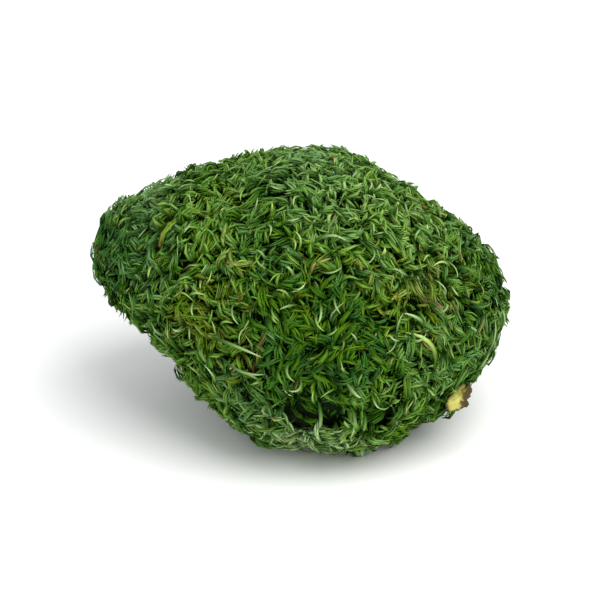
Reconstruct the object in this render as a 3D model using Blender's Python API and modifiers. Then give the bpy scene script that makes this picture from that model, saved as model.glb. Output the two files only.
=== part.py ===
"""Preserved cushion moss: one dense clump, cut off flat underneath, with a scrap of dry leaf caught in it.

Metres, +Z up. X runs along the clump's long side, -Y is its front, and the cut base lies on z = 0.
The origin is under the middle of the cushion's bounding box.
"""

import math
from dataclasses import dataclass

import bmesh
import bpy
import numpy as np
from mathutils import Matrix, Vector, noise
from mathutils.bvhtree import BVHTree
from mathutils.kdtree import KDTree

MM = 0.001

# Driving dimensions of the cushion
WIDTH = 120 * MM
DEPTH = 104 * MM
HEIGHT = 80 * MM

# The lobes below are measured from the ground that the clump grew on, which the level cut stays above.
# The heart is the point inside all of them that the shoots grow away from.
HEART = Vector((2 * MM, 0.0, 38 * MM))
CUT_HEIGHT = 3 * MM
LOBE_SHARPNESS = 24

# Shoot tips stand in domed tufts with creases between them, over slow swells and a few deeper pits
TUFT_SPACING = 6.6 * MM
TUFT_RADIUS = 4.6 * MM
TUFT_RISE = 2.6 * MM
TUFT_UNEVENNESS = 0.7 * MM
SWELL_PITCH = 17 * MM
SWELL_RISE = 1.6 * MM
PIT_PITCH = 21 * MM
PIT_WIDTH = 0.24
PIT_DEPTH = 2.4 * MM
FRONT_PIT_ANGLES = (-89.0, -36.0)
FRONT_PIT_WIDTH = 6 * MM
FRONT_PIT_DEPTH = 4 * MM

SEED = 7
FINE_SUBDIVISIONS = 7
CUSHION_TRIANGLES = 9200

# The dry scrap of leaf
SCRAP_LENGTH = 9.5 * MM
SCRAP_WIDTH = 7.0 * MM
SCRAP_TIP = 0.22
SCRAP_THICKNESS = 0.6 * MM
SCRAP_CURL = 1.6 * MM
SCRAP_ANGLES = (-35.0, -20.0)
SCRAP_FACING = (-72.0, 12.0)
SCRAP_SPIN = 35.0
SCRAP_LIFT = 1.0 * MM
SCRAP_CELLS = (8, 6)
CLEARANCE = 0.3 * MM


@dataclass(frozen=True)
class Lobe:
    """One swelling of the clump: an ellipsoid around its centre, with its left end tilted up."""

    centre: tuple
    radii: tuple
    tilt: float = 0.0


LOBES_MM = (
    Lobe(centre=(10, 0, 39), radii=(46, 48, 41), tilt=16),
    Lobe(centre=(-8, 4, 45), radii=(45, 43, 31), tilt=22),
    Lobe(centre=(-23, 6, 48), radii=(38, 36, 20), tilt=16),
    Lobe(centre=(28, 0, 41), radii=(35, 38, 28)),
    Lobe(centre=(4, -8, 39), radii=(40, 40, 35), tilt=14),
    Lobe(centre=(2, 8, 42), radii=(42, 42, 37), tilt=10),
    Lobe(centre=(2, 4, 54), radii=(38, 36, 31)),
)


def clear_scene():
    for thing in list(bpy.data.objects):
        bpy.data.objects.remove(thing)


def new_collection(name):
    collection = bpy.data.collections.new(name)
    bpy.context.scene.collection.children.link(collection)
    return collection


def new_material(name, colour, roughness):
    """A Principled BSDF from a linear colour."""
    material = bpy.data.materials.new(name)
    material.use_nodes = True
    shader = material.node_tree.nodes["Principled BSDF"]
    shader.inputs["Base Color"].default_value = (*colour, 1.0)
    shader.inputs["Roughness"].default_value = roughness
    shader.inputs["Metallic"].default_value = 0.0
    return material


def new_object(name, mesh, collection, material):
    thing = bpy.data.objects.new(name, mesh)
    collection.objects.link(thing)
    mesh.materials.clear()
    mesh.materials.append(material)
    return thing


def unit_direction(angles):
    """The unit vector at an azimuth and an elevation, both in degrees; azimuth -90 is the front."""
    azimuth, elevation = (math.radians(angle) for angle in angles)
    flat = math.cos(elevation)
    return Vector((flat * math.cos(azimuth), flat * math.sin(azimuth), math.sin(elevation)))


def lobe_reach(lobe, directions):
    """How far a ray from the heart goes before it leaves the lobe, for each direction."""
    turn = np.array(Matrix.Rotation(math.radians(lobe.tilt), 3, "Y"))
    radii = np.array(lobe.radii) * MM
    start = ((np.array(HEART) - np.array(lobe.centre) * MM) @ turn) / radii
    steps = (directions @ turn) / radii
    square = (steps**2).sum(axis=1)
    along = steps @ start
    return (-along + np.sqrt(along**2 - square * (start @ start - 1.0))) / square


def clump_reach(directions):
    """The distance from the heart to the fused lobes: a soft maximum that rounds the joins."""
    reaches = np.array([lobe_reach(lobe, directions) for lobe in LOBES_MM])
    return (reaches**LOBE_SHARPNESS).sum(axis=0) ** (1.0 / LOBE_SHARPNESS)


def vertex_array(mesh):
    points = np.empty(len(mesh.vertices) * 3, dtype=np.float32)
    mesh.vertices.foreach_get("co", points)
    return points.reshape(-1, 3).astype(np.float64)


def normal_array(mesh):
    normals = np.empty(len(mesh.vertices) * 3, dtype=np.float32)
    mesh.vertices.foreach_get("normal", normals)
    return normals.reshape(-1, 3).astype(np.float64)


def set_vertices(mesh, points):
    mesh.vertices.foreach_set("co", points.astype(np.float32).ravel())
    mesh.update()


def fit_to_size(points):
    """Scales points to the driving width and depth about the Z axis, and to the height above the cut."""
    lowest, highest = points.min(axis=0), points.max(axis=0)
    middle = (lowest + highest) / 2
    scale = np.array((WIDTH, DEPTH, HEIGHT)) / (highest - (lowest[0], lowest[1], 0.0))
    return (points - (middle[0], middle[1], 0.0)) * scale


def smooth_clump():
    """A fine icosphere around the heart, pushed out to the lobes, with the cut's level at z = 0."""
    bm = bmesh.new()
    bmesh.ops.create_icosphere(bm, subdivisions=FINE_SUBDIVISIONS, radius=1.0)
    mesh = bpy.data.meshes.new("moss_cushion")
    bm.to_mesh(mesh)
    bm.free()
    directions = vertex_array(mesh)
    directions /= np.linalg.norm(directions, axis=1, keepdims=True)
    points = np.array(HEART) + directions * clump_reach(directions)[:, None]
    set_vertices(mesh, fit_to_size(points - (0.0, 0.0, CUT_HEIGHT)))
    return mesh


def tuft_centres(points):
    """Points of the surface, taken in a fixed random order, that keep at least the tuft spacing apart."""
    centres = np.empty((0, 3))
    for point in points[np.random.default_rng(SEED).permutation(len(points))]:
        if not (np.linalg.norm(centres - point, axis=1) < TUFT_SPACING).any():
            centres = np.vstack((centres, point))
    return centres


def tuft_tree(points):
    """A search tree of the tufts' centres."""
    centres = tuft_centres(points)
    tree = KDTree(len(centres))
    for index, centre in enumerate(centres):
        tree.insert(Vector(centre), index)
    tree.balance()
    return tree


def tuft_height(tree, point):
    """A dome around the nearest tuft's centre, each a little higher or lower than its neighbours."""
    centre, _, distance = tree.find(point)
    own_height = TUFT_UNEVENNESS * noise.cell(centre / MM)
    return own_height + TUFT_RISE * (0.5 - (distance / TUFT_RADIUS) ** 2)


def pit_depth(point):
    """Scattered dark pits where shoots are missing."""
    distance = noise.voronoi(point / PIT_PITCH)[0][0]
    return PIT_DEPTH * max(0.0, 1.0 - (distance / PIT_WIDTH) ** 2)


def raise_tufts(mesh):
    """Moves each point along its normal by the tufts, the swells, the pits and the one deep front pit."""
    points = vertex_array(mesh)
    rays = points - (0.0, 0.0, HEIGHT / 2)
    rays /= np.linalg.norm(rays, axis=1, keepdims=True)
    pit = points[np.argmax(rays @ np.array(unit_direction(FRONT_PIT_ANGLES)))]
    from_pit = np.linalg.norm(points - pit, axis=1) / FRONT_PIT_WIDTH
    shift = -FRONT_PIT_DEPTH * np.exp(-(from_pit**2))
    tufts = tuft_tree(points)
    for index, point in enumerate(points):
        place = Vector(point)
        swell = SWELL_RISE * noise.noise(place / SWELL_PITCH)
        shift[index] += tuft_height(tufts, place) + swell - pit_depth(place)
    set_vertices(mesh, fit_to_size(points + normal_array(mesh) * shift[:, None]))


def thin_out(mesh):
    """Collapses the fine mesh to the triangle budget, which keeps most faces at the creases."""
    thing = bpy.data.objects.new("fine_cushion", mesh)
    bpy.context.scene.collection.objects.link(thing)
    decimate = thing.modifiers.new("Thin out", "DECIMATE")
    decimate.ratio = CUSHION_TRIANGLES / len(mesh.polygons)
    graph = bpy.context.evaluated_depsgraph_get()
    thinned = bpy.data.meshes.new_from_object(thing.evaluated_get(graph))
    bpy.data.objects.remove(thing)
    bpy.data.meshes.remove(mesh)
    return thinned


def cut_away(thing, name, cutter):
    """Takes the cutter's shape out of a thing, and leaves the cutter as a wire guide."""
    cutter.hide_render = True
    cutter.display_type = "WIRE"
    cut = thing.modifiers.new(name, "BOOLEAN")
    cut.operation = "DIFFERENCE"
    cut.object = cutter


def make_ground(cutters, material):
    """A block whose level top is the plane that the clump is cut off at."""
    bm = bmesh.new()
    bmesh.ops.create_cube(bm, size=2 * WIDTH)
    mesh = bpy.data.meshes.new("ground")
    bm.to_mesh(mesh)
    bm.free()
    ground = new_object("ground", mesh, cutters, material)
    ground.location.z = -WIDTH
    return ground


def make_cushion(collection, cutters, material):
    mesh = smooth_clump()
    raise_tufts(mesh)
    cushion = new_object("moss_cushion", thin_out(mesh), collection, material)
    cut_away(cushion, "Level cut", make_ground(cutters, material))
    return cushion


def scrap_mesh(grow):
    """An oval sheet with blunt ends, cupped across and bowed back along, and larger all round by grow."""
    bm = bmesh.new()
    bmesh.ops.create_grid(bm, x_segments=SCRAP_CELLS[0], y_segments=SCRAP_CELLS[1], size=1.0)
    for vertex in bm.verts:
        taper = SCRAP_TIP + (1.0 - SCRAP_TIP) * math.cos(vertex.co.x * math.pi / 2) ** 0.6
        along = vertex.co.x * (SCRAP_LENGTH / 2 + grow)
        across = vertex.co.y * (SCRAP_WIDTH / 2 * taper + grow)
        cupped = (2 * across / SCRAP_WIDTH) ** 2
        bowed = (2 * along / SCRAP_LENGTH) ** 2
        vertex.co = (along, across, SCRAP_CURL * (cupped - bowed / 2))
    mesh = bpy.data.meshes.new("dry_leaf_scrap")
    bm.to_mesh(mesh)
    bm.free()
    return mesh


def add_thickness(thing, thickness):
    solidify = thing.modifiers.new("Thickness", "SOLIDIFY")
    solidify.thickness = thickness
    solidify.offset = 0.0


def scrap_place(cushion):
    """Where the scrap sits: lifted off the surface that its angles point at, and turned to its facing."""
    mesh = cushion.data
    tree = BVHTree.FromPolygons([v.co for v in mesh.vertices], [p.vertices for p in mesh.polygons])
    outward = unit_direction(SCRAP_ANGLES)
    far_out = Vector((0.0, 0.0, HEIGHT / 2)) + outward * WIDTH
    spot = tree.ray_cast(far_out, -outward)[0]
    turn = unit_direction(SCRAP_FACING).to_track_quat("Z", "Y").to_matrix().to_4x4()
    spin = Matrix.Rotation(math.radians(SCRAP_SPIN), 4, "Z")
    return Matrix.Translation(spot + outward * SCRAP_LIFT) @ turn @ spin


def make_scrap(collection, cutters, material, cushion):
    """The dry scrap, and the slot that it leaves in the cushion where its inner side is tucked in."""
    place = scrap_place(cushion)
    scrap = new_object("dry_leaf_scrap", scrap_mesh(0.0), collection, material)
    scrap.matrix_world = place
    add_thickness(scrap, SCRAP_THICKNESS)

    cutter = new_object("scrap_slot", scrap_mesh(CLEARANCE), cutters, material)
    cutter.matrix_world = place
    add_thickness(cutter, SCRAP_THICKNESS + 2 * CLEARANCE)
    cut_away(cushion, "Scrap slot", cutter)
    return scrap


def main():
    clear_scene()
    clump = new_collection("moss_clump")
    cutters = new_collection("cutters")
    moss_green = new_material("moss_green", (0.05, 0.105, 0.017), 0.9)
    dry_yellow = new_material("dry_yellow", (0.45, 0.40, 0.12), 0.8)
    cushion = make_cushion(clump, cutters, moss_green)
    make_scrap(clump, cutters, dry_yellow, cushion)


main()
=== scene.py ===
"""The looks of a clump of preserved cushion moss, cut off flat underneath, with a scrap of dry leaf in it.

Lengths are in metres and angles in radians, unless a name or a docstring says otherwise, in the frame of the
solids: +Z up, -Y the front, and the cut on z = 0. The leaves stand in place of the cushion's solid and reach
its surface with their tips. They, the long strands and the cut stems draw from one random generator, in the
order in which they are built.
"""

import logging
import math
from dataclasses import dataclass, field, replace
from enum import Enum
from functools import cached_property
from typing import NamedTuple

import bpy
import numpy as np
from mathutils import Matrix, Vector
from mathutils.bvhtree import BVHTree


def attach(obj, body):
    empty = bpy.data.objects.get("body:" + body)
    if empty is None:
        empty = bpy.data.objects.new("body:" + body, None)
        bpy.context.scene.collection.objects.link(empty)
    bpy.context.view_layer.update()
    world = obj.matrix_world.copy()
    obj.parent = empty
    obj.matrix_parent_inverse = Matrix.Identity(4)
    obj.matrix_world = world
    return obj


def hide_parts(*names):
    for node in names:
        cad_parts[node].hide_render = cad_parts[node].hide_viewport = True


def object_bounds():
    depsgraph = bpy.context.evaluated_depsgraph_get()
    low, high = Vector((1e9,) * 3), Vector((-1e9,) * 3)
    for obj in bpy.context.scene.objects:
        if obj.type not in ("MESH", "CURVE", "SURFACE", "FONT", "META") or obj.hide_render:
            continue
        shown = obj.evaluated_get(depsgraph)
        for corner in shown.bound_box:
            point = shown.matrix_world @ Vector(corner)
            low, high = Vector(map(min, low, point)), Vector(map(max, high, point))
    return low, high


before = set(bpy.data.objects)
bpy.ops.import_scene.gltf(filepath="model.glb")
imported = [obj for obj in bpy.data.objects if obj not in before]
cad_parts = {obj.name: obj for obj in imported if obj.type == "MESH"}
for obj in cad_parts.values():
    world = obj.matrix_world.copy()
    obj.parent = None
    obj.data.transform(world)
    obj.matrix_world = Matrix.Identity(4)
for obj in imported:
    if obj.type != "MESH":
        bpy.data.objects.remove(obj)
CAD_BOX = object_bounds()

Array = np.ndarray
Dice = np.random.Generator
Thing = bpy.types.Object
Material = bpy.types.Material
Socket = bpy.types.NodeSocket
Colour = tuple[int, int, int]
Span = tuple[float, float]
Series = tuple[float, ...]

MM = 0.001
SEED = 23
LEAF_MAP = "OFBake"
FULL_TURN = 2.0 * math.pi

# The photograph's view: upward in its picture, and the way it looks.
VIEW_ELEVATION = math.radians(25.0)
UPWARD = np.array((0.0, math.sin(VIEW_ELEVATION), math.cos(VIEW_ELEVATION)))
SIGHT = np.array((0.0, math.cos(VIEW_ELEVATION), -math.sin(VIEW_ELEVATION)))

log = logging.getLogger("moss_clump")


# ---- arrays


def unit(vectors: Array) -> Array:
    """Scales each row to length one."""
    return vectors / np.linalg.norm(vectors, axis=-1, keepdims=True)


def blend(first: float, last: float, share: Array) -> Array:
    """Goes from first to last as share goes from 0 to 1."""
    return first + (last - first) * share


def smooth_step(values: Array, low: float, high: float) -> Array:
    """Rises from 0 at low to 1 at high as 3t^2 - 2t^3."""
    t = np.clip((values - low) / (high - low), 0.0, 1.0)
    return t * t * (3.0 - 2.0 * t)


def angles_round(count: int) -> Array:
    """Even angles once round."""
    return FULL_TURN * np.arange(count) / count


def bell_mean(cosines: Array, values: Array, width: float) -> Array:
    """Means of values, each weighted by a bell curve of the angle to it, e^((cosine - 1) / width^2)."""
    weights = np.exp((cosines - 1.0) / width**2)
    return (weights @ values) / weights.sum(axis=1)


@dataclass(frozen=True)
class Drift:
    """Smooth noise over space: its strength, the length of its waves and a number that sets it apart."""

    strength: float
    pitch: float
    number: int
    waves: int = 8

    def at(self, points: Array) -> Array:
        """Works out the noise at places.

        The formula is a sum of sine waves of one pitch in random directions, scaled so that its spread is
        about the strength.

        Args:
            points: Places, one row each.

        Returns:
            One value for each place.
        """
        rng = np.random.default_rng(SEED + self.number)
        directions = unit(rng.normal(size=(self.waves, 3))) * (FULL_TURN / self.pitch)
        phases = rng.uniform(0.0, FULL_TURN, self.waves)
        total = np.sin(points @ directions.T + phases).sum(axis=1)
        return self.strength * (total / math.sqrt(self.waves / 2))

    def vectors(self, points: Array) -> Array:
        """Three such noises at each place, as the parts of a vector."""
        return np.column_stack([replace(self, number=self.number + k).at(points) for k in range(3)])


@dataclass(frozen=True)
class Factor:
    """A random factor around one, drawn from a bell curve and held between two limits."""

    spread: float
    least: float
    most: float

    def draw(self, rng: Dice, count: int) -> Array:
        """Draws so many of them."""
        return rng.normal(1.0, self.spread, count).clip(self.least, self.most)


# ---- objects


def vertices_of(node: Thing) -> Array:
    """Reads a solid's vertices.

    Args:
        node: The solid.

    Returns:
        Its vertices, one row each.
    """
    loose = np.empty(len(node.data.vertices) * 3, dtype=np.float32)
    node.data.vertices.foreach_get("co", loose)
    return loose.reshape(-1, 3).astype(np.float64)


def linked(name: str, data: bpy.types.ID) -> Thing:
    """Puts a mesh, a lamp or a camera in the scene.

    Args:
        name: The object's name.
        data: What it shows.

    Returns:
        The object, at the origin.
    """
    thing = bpy.data.objects.new(name, data)
    bpy.context.scene.collection.objects.link(thing)
    return thing


def make_object(
    name: str, points: Array, faces: Array, material: Material, uvs: Array | None = None
) -> Thing:
    """Puts arrays into a smooth-shaded mesh object at the origin.

    Args:
        name: The piece's name.
        points: Vertices, one row each.
        faces: Three vertex numbers for each triangle, or four for each quad.
        material: What it is made of.
        uvs: A map position for each corner of each face, in the order of the faces.

    Returns:
        The object.
    """
    mesh = bpy.data.meshes.new(name)
    mesh.vertices.add(len(points))
    mesh.vertices.foreach_set("co", points.astype(np.float32).ravel())
    mesh.loops.add(faces.size)
    mesh.loops.foreach_set("vertex_index", faces.astype(np.int32).ravel())
    mesh.polygons.add(len(faces))
    mesh.polygons.foreach_set("loop_start", np.arange(0, faces.size, faces.shape[1], dtype=np.int32))
    mesh.update(calc_edges=True)
    if uvs is not None:
        mesh.uv_layers.new(name=LEAF_MAP).uv.foreach_set("vector", uvs.astype(np.float32).ravel())
    mesh.validate()
    mesh.shade_smooth()
    mesh.materials.append(material)
    return linked(name, mesh)


def closed_grid(columns: int, rows: int) -> Array:
    """The faces of a surface of rows by columns that closes round its columns and at a pole at each end.

    Vertex 0 is the first pole, then come the rows in turn, and the last vertex is the other pole.

    Args:
        columns: Vertices in a row.
        rows: Rows between the poles.

    Returns:
        Triangles, facing out where the columns run anticlockwise seen from the last pole.
    """
    here = np.arange(columns)
    after = (here + 1) % columns
    first = np.column_stack((np.zeros_like(here), after + 1, here + 1))
    starts = 1 + columns * np.arange(rows - 1)[:, None]
    low, low_after = starts + here, starts + after
    high, high_after = low + columns, low_after + columns
    sides = np.stack((low, low_after, high_after, low, high_after, high), axis=-1).reshape(-1, 3)
    last = 1 + columns * (rows - 1)
    final = np.column_stack((last + here, last + after, np.full_like(here, last + columns)))
    return np.vstack((first, sides, final))


# ---- the solid


@dataclass
class Cushion:
    """The cushion's solid, read as arrays: merged corners, faces and their normals."""

    node: Thing
    centre: Array = field(default_factory=lambda: np.array((2.0, 0.0, 36.0)) * MM)
    smoothing: float = math.radians(7.0)
    edge_smoothing: float = math.radians(4.0)
    sight_start: float = 200 * MM
    grown_above: float = 0.2 * MM
    cut_below: float = 0.02 * MM
    points: Array = field(init=False)
    faces: Array = field(init=False)
    normals: Array = field(init=False)
    areas: Array = field(init=False)
    lowest: float = field(init=False)

    def __post_init__(self) -> None:
        """Reads the node's triangles, and merges the corners that are within a micron of each other."""
        mesh = self.node.data
        mesh.calc_loop_triangles()
        corners = np.empty(len(mesh.loop_triangles) * 3, dtype=np.int32)
        mesh.loop_triangles.foreach_get("vertices", corners)
        microns, numbers = np.unique(np.round(vertices_of(self.node) * 1e6), axis=0, return_inverse=True)
        self.points = microns * 1e-6
        self.faces = numbers.ravel()[corners].reshape(-1, 3)
        first, second, third = (self.points[self.faces[:, k]] for k in range(3))
        spans = np.cross(second - first, third - first)
        self.areas = np.linalg.norm(spans, axis=1) / 2.0
        self.normals = np.zeros_like(self.points)
        for k in range(3):
            np.add.at(self.normals, self.faces[:, k], spans)
        self.normals /= np.maximum(np.linalg.norm(self.normals, axis=1, keepdims=True), 1e-15)
        self.lowest = (self.points @ UPWARD).min()

    def picture_plane(self, points: Array) -> Array:
        """Where points lie in the photograph: to the right of the middle, and up from the clump's lowest."""
        return np.column_stack((points[:, 0], points @ UPWARD - self.lowest))

    def seen_at(self, flat: Array) -> Array:
        """The points of the surface that the photograph shows at places in its plane.

        Each is where a line of sight first meets the solid.

        Args:
            flat: Places in the photograph's plane, one row each.

        Returns:
            A point on the surface for each place.
        """
        tree = BVHTree.FromPolygons(self.points.tolist(), self.faces.tolist())
        level = flat[:, :1] * (1.0, 0.0, 0.0) + (flat[:, 1:] + self.lowest) * UPWARD
        return np.array([tree.ray_cast(start, SIGHT)[0] for start in level - self.sight_start * SIGHT])

    def scatter(self, count: int, rng: Dice) -> tuple[Array, Array]:
        """Spreads random places over the grown surface, and none over the cut face.

        A place is r1 along one edge and r2 along the other, with both turned back where r1 + r2 passes 1.

        Args:
            count: How many places.
            rng: Where the random numbers come from.

        Returns:
            The places and their unit normals.
        """
        grown = self.points[self.faces][:, :, 2].max(axis=1) > self.grown_above
        chances = self.areas * grown
        chosen = self.faces[rng.choice(len(self.faces), size=count, p=chances / chances.sum())]
        shares = rng.uniform(size=(count, 2))
        beyond = shares.sum(axis=1) > 1.0
        shares[beyond] = 1.0 - shares[beyond]
        weights = np.column_stack((1.0 - shares.sum(axis=1), shares))[:, :, None]
        return (self.points[chosen] * weights).sum(axis=1), unit((self.normals[chosen] * weights).sum(axis=1))

    def reach(self, directions: Array) -> Array:
        """How far the surface lies from the centre in each direction, with its tufts smoothed away."""
        rays = self.points - self.centre
        return bell_mean(directions @ unit(rays).T, np.linalg.norm(rays, axis=1), self.smoothing)

    def cut_outline(self, middle: Array, angles: Array) -> Array:
        """How far the cut face reaches from a middle point at each angle, its ragged edge a little eased.

        Args:
            middle: The point on the cut to measure from, right and back.
            angles: The angles.

        Returns:
            A distance for each angle.
        """
        edge = self.points[self.points[:, 2] < self.cut_below][:, :2] - middle
        turns = np.arctan2(edge[:, 1], edge[:, 0])
        cosines = np.cos(angles[:, None] - turns)
        return bell_mean(cosines, np.linalg.norm(edge, axis=1), self.edge_smoothing)


# ---- finishes


def linear(colour: Colour) -> Series:
    """Turns a colour of 0 to 255 as seen on a screen into the linear values that shaders use."""
    shares = [value / 255.0 for value in colour]
    return (*(s / 12.92 if s <= 0.04045 else ((s + 0.055) / 1.055) ** 2.4 for s in shares), 1.0)


class Web:
    """A node tree that is added to in short calls."""

    def __init__(self, tree: bpy.types.NodeTree) -> None:
        """Takes the tree to add to."""
        self.tree = tree

    def feed(self, node: bpy.types.Node, inputs: dict) -> bpy.types.Node:
        """Fills a node's inputs.

        Args:
            node: The node.
            inputs: For each input by name or number, a value, or a socket to link from.

        Returns:
            The node.
        """
        for key, value in inputs.items():
            if isinstance(value, Socket):
                self.tree.links.new(value, node.inputs[key])
            else:
                node.inputs[key].default_value = value
        return node

    def add(self, kind: str, inputs: dict | None = None, **settings: object) -> bpy.types.Node:
        """Adds a node.

        Args:
            kind: The shader node's type, such as Math.
            inputs: What goes into its inputs, as feed takes it.
            settings: The node's own settings.

        Returns:
            The node.
        """
        node = self.tree.nodes.new("ShaderNode" + kind)
        for name, value in settings.items():
            setattr(node, name, value)
        return self.feed(node, inputs or {})

    def math(self, operation: str, *values: object) -> Socket:
        """Adds a Math node and returns its result."""
        return self.add("Math", dict(enumerate(values)), operation=operation).outputs[0]

    def spread(self, *limits: object, kind: str = "LINEAR") -> Socket:
        """Adds a Map Range node for a value, its limits and the two they go to, and returns its result."""
        return self.add("MapRange", dict(enumerate(limits)), interpolation_type=kind).outputs[0]

    def mix(self, factor: object, first: object, second: object) -> Socket:
        """Mixes two colours and returns the result."""
        return self.add("Mix", {0: factor, 6: first, 7: second}, data_type="RGBA").outputs[2]

    def ramp(self, factor: Socket, stops: list[tuple[float, Colour]], kind: str = "LINEAR") -> Socket:
        """Adds a colour ramp.

        Args:
            factor: The socket that drives it.
            stops: Pairs of a position and a colour as seen on a screen, in order.
            kind: How the ramp goes from stop to stop.

        Returns:
            Its colour.
        """
        node = self.add("ValToRGB", {0: factor})
        node.color_ramp.interpolation = kind
        elements = node.color_ramp.elements
        while len(elements) < len(stops):
            elements.new(1.0)
        for element, (position, colour) in zip(elements, stops):
            element.position = position
            element.color = linear(colour)
        return node.outputs[0]


class Surface(Web):
    """A new material's tree."""

    def __init__(self, name: str) -> None:
        """Makes the material.

        Args:
            name: Its name.
        """
        self.material = bpy.data.materials.new(name)
        self.material.use_nodes = True
        super().__init__(self.material.node_tree)

    def finish(self, colour: object, roughness: float, gloss: float, bump: dict | None = None) -> Material:
        """Fills the inputs of the Principled shader.

        Args:
            colour: Its base colour, or a socket to link from.
            roughness: Its roughness.
            gloss: Its specular level.
            bump: The inputs of a Bump node for its normal.

        Returns:
            The material.
        """
        shown = {"Base Color": colour, "Roughness": roughness, "Specular IOR Level": gloss}
        if bump:
            shown["Normal"] = self.add("Bump", bump).outputs[0]
        self.feed(self.tree.nodes["Principled BSDF"], shown)
        return self.material


def fibre_group() -> bpy.types.NodeTree:
    """Builds the shared effect of matted fibres, once: a mask and a height from stretched noise.

    Returns:
        A shader node group with the inputs Vector and Scale, and the outputs Mask and Height.
    """
    name = "matted_fibres"
    if name in bpy.data.node_groups:
        return bpy.data.node_groups[name]
    group = bpy.data.node_groups.new(name, "ShaderNodeTree")
    for socket, way in (("Vector", "INPUT"), ("Scale", "INPUT"), ("Mask", "OUTPUT"), ("Height", "OUTPUT")):
        kind = "NodeSocketVector" if socket == "Vector" else "NodeSocketFloat"
        group.interface.new_socket(name=socket, in_out=way, socket_type=kind)
    web = Web(group)
    place, scale, _ = group.nodes.new("NodeGroupInput").outputs
    finer = web.math("MULTIPLY", scale, 3.1)
    coarse = web.add("TexNoise", {"Vector": place, "Scale": scale, "Detail": 5.0, "Distortion": 1.4})
    fine = web.add("TexNoise", {"Vector": place, "Scale": finer, "Detail": 4.0, "Distortion": 2.6})
    both = web.math("MULTIPLY", coarse.outputs[0], fine.outputs[0])
    mask = web.math("SMOOTH_MIN", web.math("MULTIPLY", both, 3.2), 1.0, 0.2)
    results = web.feed(group.nodes.new("NodeGroupOutput"), {"Mask": mask, "Height": fine.outputs[0]})
    results.is_active_output = True
    return group


class Hue(Enum):
    """The leaves' colours, from the coldest green to the driest: on screen at the tip, and at the base."""

    # The base colours are dark partly with age and partly as painted shade deep among the shoots.
    BLUE_GREEN = ((74, 130, 50), (6, 44, 5))
    DEEP_GREEN = ((80, 134, 26), (8, 50, 0))
    MOSS_GREEN = ((98, 150, 24), (12, 58, 0))
    FRESH_GREEN = ((118, 164, 36), (20, 66, 0))
    OLIVE_GREEN = ((120, 144, 20), (34, 60, 0))
    YELLOW_GREEN = ((162, 188, 70), (50, 80, 0))
    PALE_GREEN = ((160, 192, 120), (44, 84, 20))
    STRAW = ((184, 160, 84), (84, 68, 18))
    BROWN = ((118, 88, 50), (50, 36, 18))

    @property
    def column(self) -> int:
        """The hue's column in the palette."""
        return list(Hue).index(self)


@dataclass(frozen=True)
class LeafFinish:
    """The leaves' finish, all of it read from their map.

    The map is a palette: a wide column for each hue, each of eight narrow strips for the shades, and a leaf
    lies in one strip with its base at the bottom and its tip at the top.
    """

    shades: int = 8
    lightness: Span = (0.54, 1.42)
    midrib: float = 0.16
    roughness: float = 0.65
    gloss: float = 0.04
    dark_base_to_tip: Span = (0.12, 0.92)
    pale: Colour = (172, 196, 156)
    paling: float = 0.42
    paling_from: float = 0.2

    @property
    def strips(self) -> int:
        """How many strips the palette has."""
        return len(Hue) * self.shades

    def strip(self, hue: Array, shade: Array) -> Array:
        """The numbers of the strips for hues and shades, both counted from 0 and held within the palette."""
        column = np.clip(np.floor(hue), 0, len(Hue) - 1)
        return (column * self.shades + np.clip(np.floor(shade), 0, self.shades - 1)).astype(int)

    @cached_property
    def material(self) -> Material:
        """The material.

        The palette's base and tip colours are mixed up the leaf, its dark base partly older leaf and partly
        painted shade deep among the shoots. The lighter the shade, the paler the leaf, partly its own dry
        pallor and partly a painted pale sheen, and its middle line is a little lighter than its edges.

        Returns:
            The material.
        """
        paint = Surface("moss_leaves")
        place = paint.add("UVMap", uv_map=LEAF_MAP)
        column, along, _ = paint.add("SeparateXYZ", {0: place.outputs[0]}).outputs
        tips, bases = ([(k / len(Hue), hue.value[end]) for k, hue in enumerate(Hue)] for end in (0, 1))
        # Dark base to tip: partly older leaf colour, partly painted shade deep among the shoots.
        grown = paint.spread(along, *self.dark_base_to_tip, kind="SMOOTHSTEP")
        colour = paint.mix(grown, paint.ramp(column, bases, "CONSTANT"), paint.ramp(column, tips, "CONSTANT"))
        shade = paint.math("FRACT", paint.math("MULTIPLY", column, float(len(Hue))))
        lightness = paint.spread(shade, 0.0, 1.0, *self.lightness)
        # Lightest shades paler: partly dry pallor, partly a painted pale sheen.
        palest = paint.spread(shade, self.paling_from, 1.0, 0.0, self.paling)
        colour = paint.mix(paint.math("MULTIPLY", palest, grown), colour, linear(self.pale))
        middle = paint.math("PINGPONG", paint.math("MULTIPLY", column, float(self.strips)), 0.5)
        rib = paint.math("MULTIPLY_ADD", middle, 2.0 * self.midrib, 1.0 - self.midrib)
        strength = paint.math("MULTIPLY", lightness, rib)
        shaded = paint.add("VectorMath", {0: colour, 3: strength}, operation="SCALE")
        return paint.finish(shaded.outputs[0], self.roughness, self.gloss)


@dataclass(frozen=True)
class MatFinish:
    """Old stems and leaves, matted together: brown, where no other colours are given."""

    name: str = "cut_bed"
    dark: Colour = (26, 24, 12)
    light: Colour = (96, 76, 42)
    scale: float = 420.0
    roughness: float = 0.95
    gloss: float = 0.15
    relief: float = 0.6 * MM
    relief_strength: float = 0.6

    @cached_property
    def material(self) -> Material:
        """The material: the dark colour and the light one, mixed by the fibres' mask.

        Returns:
            The material.
        """
        paint = Surface(self.name)
        place = paint.add("TexCoord").outputs["Object"]
        mask, height = paint.add("Group", {0: place, 1: self.scale}, node_tree=fibre_group()).outputs
        colour = paint.mix(mask, linear(self.dark), linear(self.light))
        bump = {"Strength": self.relief_strength, "Distance": self.relief, "Height": height}
        return paint.finish(colour, self.roughness, self.gloss, bump)


# ---- leaves


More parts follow.
